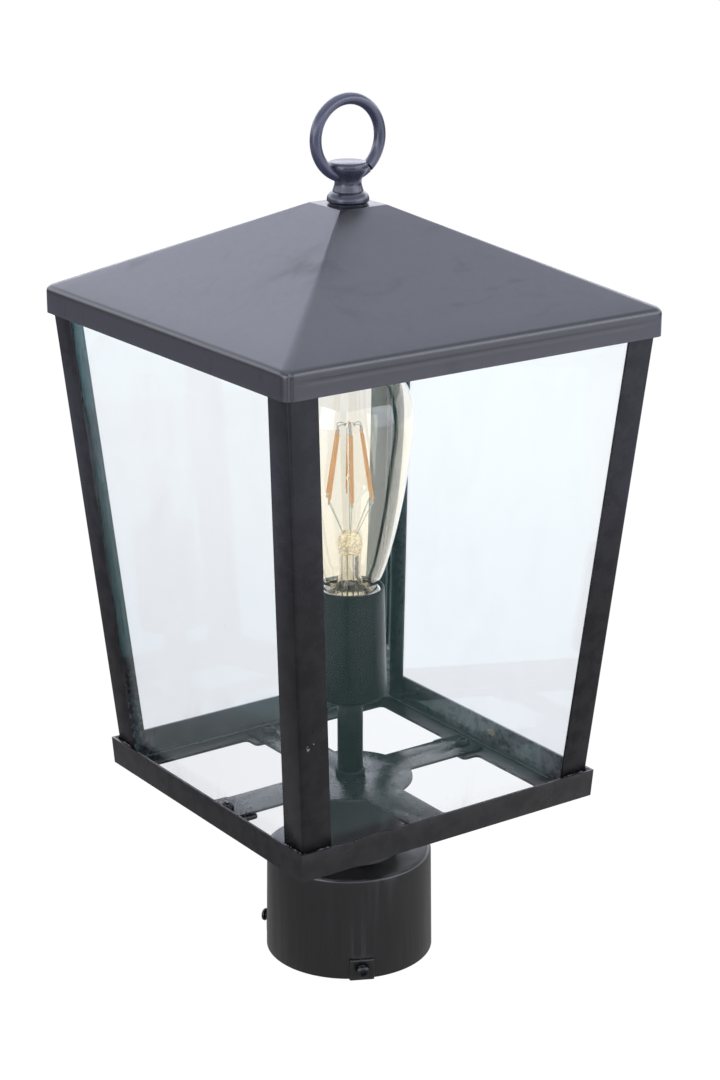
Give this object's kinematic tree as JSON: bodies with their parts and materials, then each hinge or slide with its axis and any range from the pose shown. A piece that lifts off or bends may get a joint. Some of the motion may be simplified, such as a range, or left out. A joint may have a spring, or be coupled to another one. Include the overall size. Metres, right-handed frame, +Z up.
{
  "type": "post top lantern",
  "caption": "Square post top lantern with leaning glass sides, a low pyramid roof with a ring finial, a filament lamp inside and a cup that slips over a round post.",
  "frame": {"origin": "centre of the post cup's lower rim, at the lowest point", "axes": "+Z up along the post; the glass sides look along -Y (front), +X, +Y and -X"},
  "size_m": [0.2026, 0.2026, 0.4149],
  "materials": {
    "black_metal": "satin powder coat",
    "pane_glass": "clear",
    "sealant": "satin, translucent",
    "zinc_steel": "zinc plated",
    "screw_steel": "dark plated",
    "phenolic": "moulded",
    "shell_metal": "bright",
    "contact_brass": "bright",
    "amber_glass": "clear tint",
    "clear_glass": "clear",
    "black_glass": "gloss",
    "filament_coat": "amber coating",
    "wire": "drawn"
  },
  "bodies": {
    "lantern": {"base_frame": "black_metal", "bridge_nuts": "zinc_steel", "bridge_screws": "zinc_steel", "centre_contact": "contact_brass", "corner_post_back_left": "black_metal", "corner_post_back_right": "black_metal", "corner_post_front_left": "black_metal", "corner_post_front_right": "black_metal", "glass_pane_back": "pane_glass", "glass_pane_front": "pane_glass", "glass_pane_left": "pane_glass", "glass_pane_right": "pane_glass", "glass_sealant": "sealant", "lead_bushing": "phenolic", "lock_washer": "zinc_steel", "nipple_nuts": "zinc_steel", "post_fitter": "black_metal", "roof_bridge": "black_metal", "roof_seat_nut": "zinc_steel", "roof_stud": "zinc_steel", "screw_shell": "shell_metal", "socket_body": "phenolic", "socket_cup": "black_metal", "spider_nuts": "zinc_steel", "spider_plate": "black_metal", "spider_screws": "screw_steel", "stem_collar": "black_metal", "stem_tube": "black_metal", "stud_lock_nuts": "zinc_steel", "terminal_screws": "contact_brass", "threaded_nipple": "zinc_steel", "top_frame": "black_metal"},
    "roof": {"roof": "black_metal"},
    "finial_washer": {"finial_washer": "black_metal"},
    "finial": {"finial_neck": "black_metal", "finial_ring": "black_metal"},
    "bulb_carrier": {"bulb_insulator": "black_glass", "bulb_tip": "contact_brass"},
    "bulb": {"bulb_glass": "amber_glass", "bulb_base": "shell_metal", "bulb_mount": "clear_glass", "filaments": "filament_coat", "filament_supports": "wire"},
    "set_screw_a": {"set_screw_1": "screw_steel"},
    "set_screw_b": {"set_screw_2": "screw_steel"},
    "set_screw_c": {"set_screw_3": "screw_steel"}
  },
  "joints": [
    {"name": "roof_lift", "type": "slide", "parent": "lantern", "child": "roof", "axis": [0, 0, 1], "range_m": [0, 0.15]},
    {"name": "finial_rise", "type": "slide", "parent": "roof", "child": "finial_washer", "axis": [0, 0, 1], "range_m": [0, 0.0106]},
    {"name": "finial_turn", "type": "hinge", "parent": "finial_washer", "child": "finial", "pos_m": [0, 0, 0.3666], "axis": [0, 0, 1], "range_deg": [0, 3780]},
    {"name": "bulb_rise", "type": "slide", "parent": "lantern", "child": "bulb_carrier", "axis": [0, 0, 1], "range_m": [0, 0.0255]},
    {"name": "bulb_turn", "type": "hinge", "parent": "bulb_carrier", "child": "bulb", "pos_m": [0, 0, 0.158], "axis": [0, 0, 1], "range_deg": [0, 2520]},
    {"name": "set_screw_a_travel", "type": "slide", "parent": "lantern", "child": "set_screw_a", "axis": [-0.998, -0.0628, 0], "range_m": [-0.002, 0.0023]},
    {"name": "set_screw_b_travel", "type": "slide", "parent": "lantern", "child": "set_screw_b", "axis": [0.5534, -0.8329, 0], "range_m": [-0.002, 0.0023]},
    {"name": "set_screw_c_travel", "type": "slide", "parent": "lantern", "child": "set_screw_c", "axis": [0.4446, 0.8957, 0], "range_m": [-0.002, 0.0023]}
  ],
  "couplings": [
    {"joint": "finial_rise", "follows": "finial_turn", "m_per_rad": 0.00015915},
    {"joint": "bulb_rise", "follows": "bulb_turn", "m_per_rad": 0.00057757}
  ]
}
